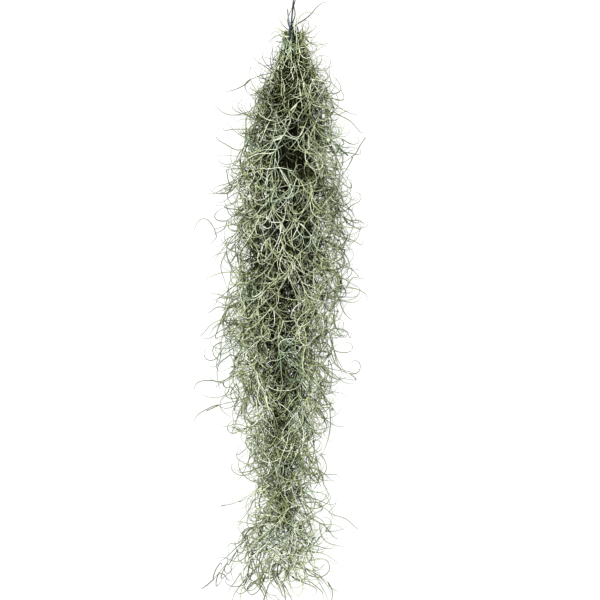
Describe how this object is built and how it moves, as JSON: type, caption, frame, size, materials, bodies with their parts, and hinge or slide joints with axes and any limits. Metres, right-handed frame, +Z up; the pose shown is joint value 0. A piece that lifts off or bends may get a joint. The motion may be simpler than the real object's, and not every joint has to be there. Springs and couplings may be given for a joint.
{
  "type": "spanish moss bunch",
  "caption": "Long bunch of Spanish moss lying on a surface: tresses of thread-like curling leaves on wiry stems, gathered at one end and tied with a coated wire whose long end forms an eye.",
  "frame": {"origin": "on the surface the bunch lies on, under the middle of its bounding box", "axes": "+Y runs along the bunch towards its tied end and the eye of the wire, +Z is up from the surface, +X is across the bunch"},
  "size_m": [0.1527, 0.6279, 0.075],
  "materials": {
    "moss": "matte, scaly silver-green leaves",
    "coated_wire": "satin dark green-grey coating"
  },
  "bodies": {
    "root": {"tie_wire": "coated_wire", "tress_01": "moss", "tress_02": "moss", "tress_03": "moss", "tress_04": "moss", "tress_05": "moss", "tress_06": "moss", "tress_07": "moss", "tress_08": "moss", "tress_09": "moss", "tress_10": "moss", "tress_11": "moss", "tress_12": "moss", "tress_13": "moss", "tress_14": "moss", "tress_15": "moss", "tress_16": "moss", "tress_17": "moss", "tress_18": "moss", "tress_19": "moss"}
  },
  "joints": []
}
